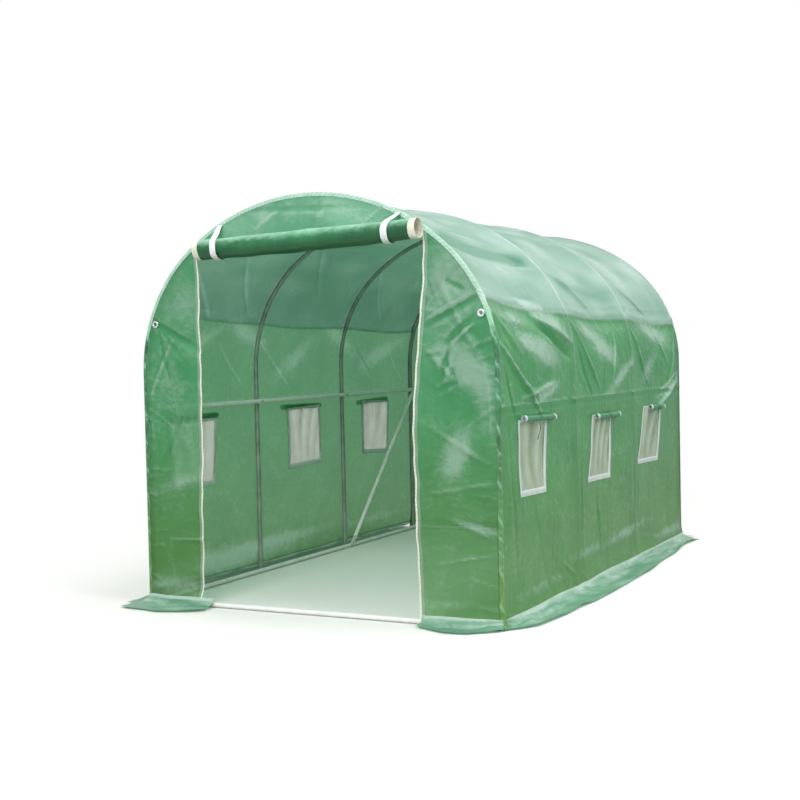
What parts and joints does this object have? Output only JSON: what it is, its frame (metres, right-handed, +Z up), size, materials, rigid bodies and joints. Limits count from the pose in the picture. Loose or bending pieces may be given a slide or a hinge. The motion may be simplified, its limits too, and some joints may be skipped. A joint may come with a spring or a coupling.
{
  "type": "polytunnel greenhouse",
  "caption": "Walk-in polytunnel greenhouse: steel tube hoops under a green woven jacket, rolled-up front door, screened side windows, ground skirts.",
  "frame": {"origin": "on the ground in the middle of the tunnel's plan", "axes": "+Z up, +Y away from the doorway along the tunnel, +X to the right as one faces the doorway"},
  "size_m": [2.2496, 3.3296, 2.0148],
  "materials": {
    "frame_tube": "galvanised and grey-green coated steel tube, satin",
    "pale_tube": "bright galvanised steel tube, satin",
    "sheeting": "translucent green woven polyethylene, glossy coat",
    "screen": "fine insect mesh",
    "tape": "white woven zip tape",
    "eyelet": "pressed metal ring"
  },
  "bodies": {
    "root": {"door_roll": "sheeting", "door_ties": "tape", "front_eyelets": "eyelet", "front_ground_bar": "pale_tube", "front_header": "sheeting", "front_left_panel": "sheeting", "front_left_skirt": "sheeting", "front_right_panel": "sheeting", "front_right_skirt": "sheeting", "ground_rail_left": "pale_tube", "ground_rail_right": "pale_tube", "hoop_1_left_arch": "frame_tube", "hoop_1_legs": "frame_tube", "hoop_1_right_arch": "frame_tube", "hoop_2_left_arch": "frame_tube", "hoop_2_legs": "frame_tube", "hoop_2_right_arch": "frame_tube", "hoop_3_left_arch": "frame_tube", "hoop_3_legs": "frame_tube", "hoop_3_right_arch": "frame_tube", "hoop_4_left_arch": "frame_tube", "hoop_4_legs": "frame_tube", "hoop_4_right_arch": "frame_tube", "hoop_feet": "frame_tube", "left_door_zip": "tape", "left_rear_brace": "pale_tube", "left_side_sheet": "sheeting", "left_skirt": "sheeting", "left_window_flaps": "sheeting", "left_window_screens": "screen", "rear_end_sheet": "sheeting", "rear_ground_bar": "pale_tube", "rear_skirt": "sheeting", "ridge_rail": "pale_tube", "right_door_zip": "tape", "right_front_brace": "pale_tube", "right_side_sheet": "sheeting", "right_skirt": "sheeting", "right_window_flaps": "sheeting", "right_window_screens": "screen", "roof_sheet": "sheeting", "waist_rail_left": "pale_tube", "waist_rail_right": "pale_tube"}
  },
  "joints": []
}
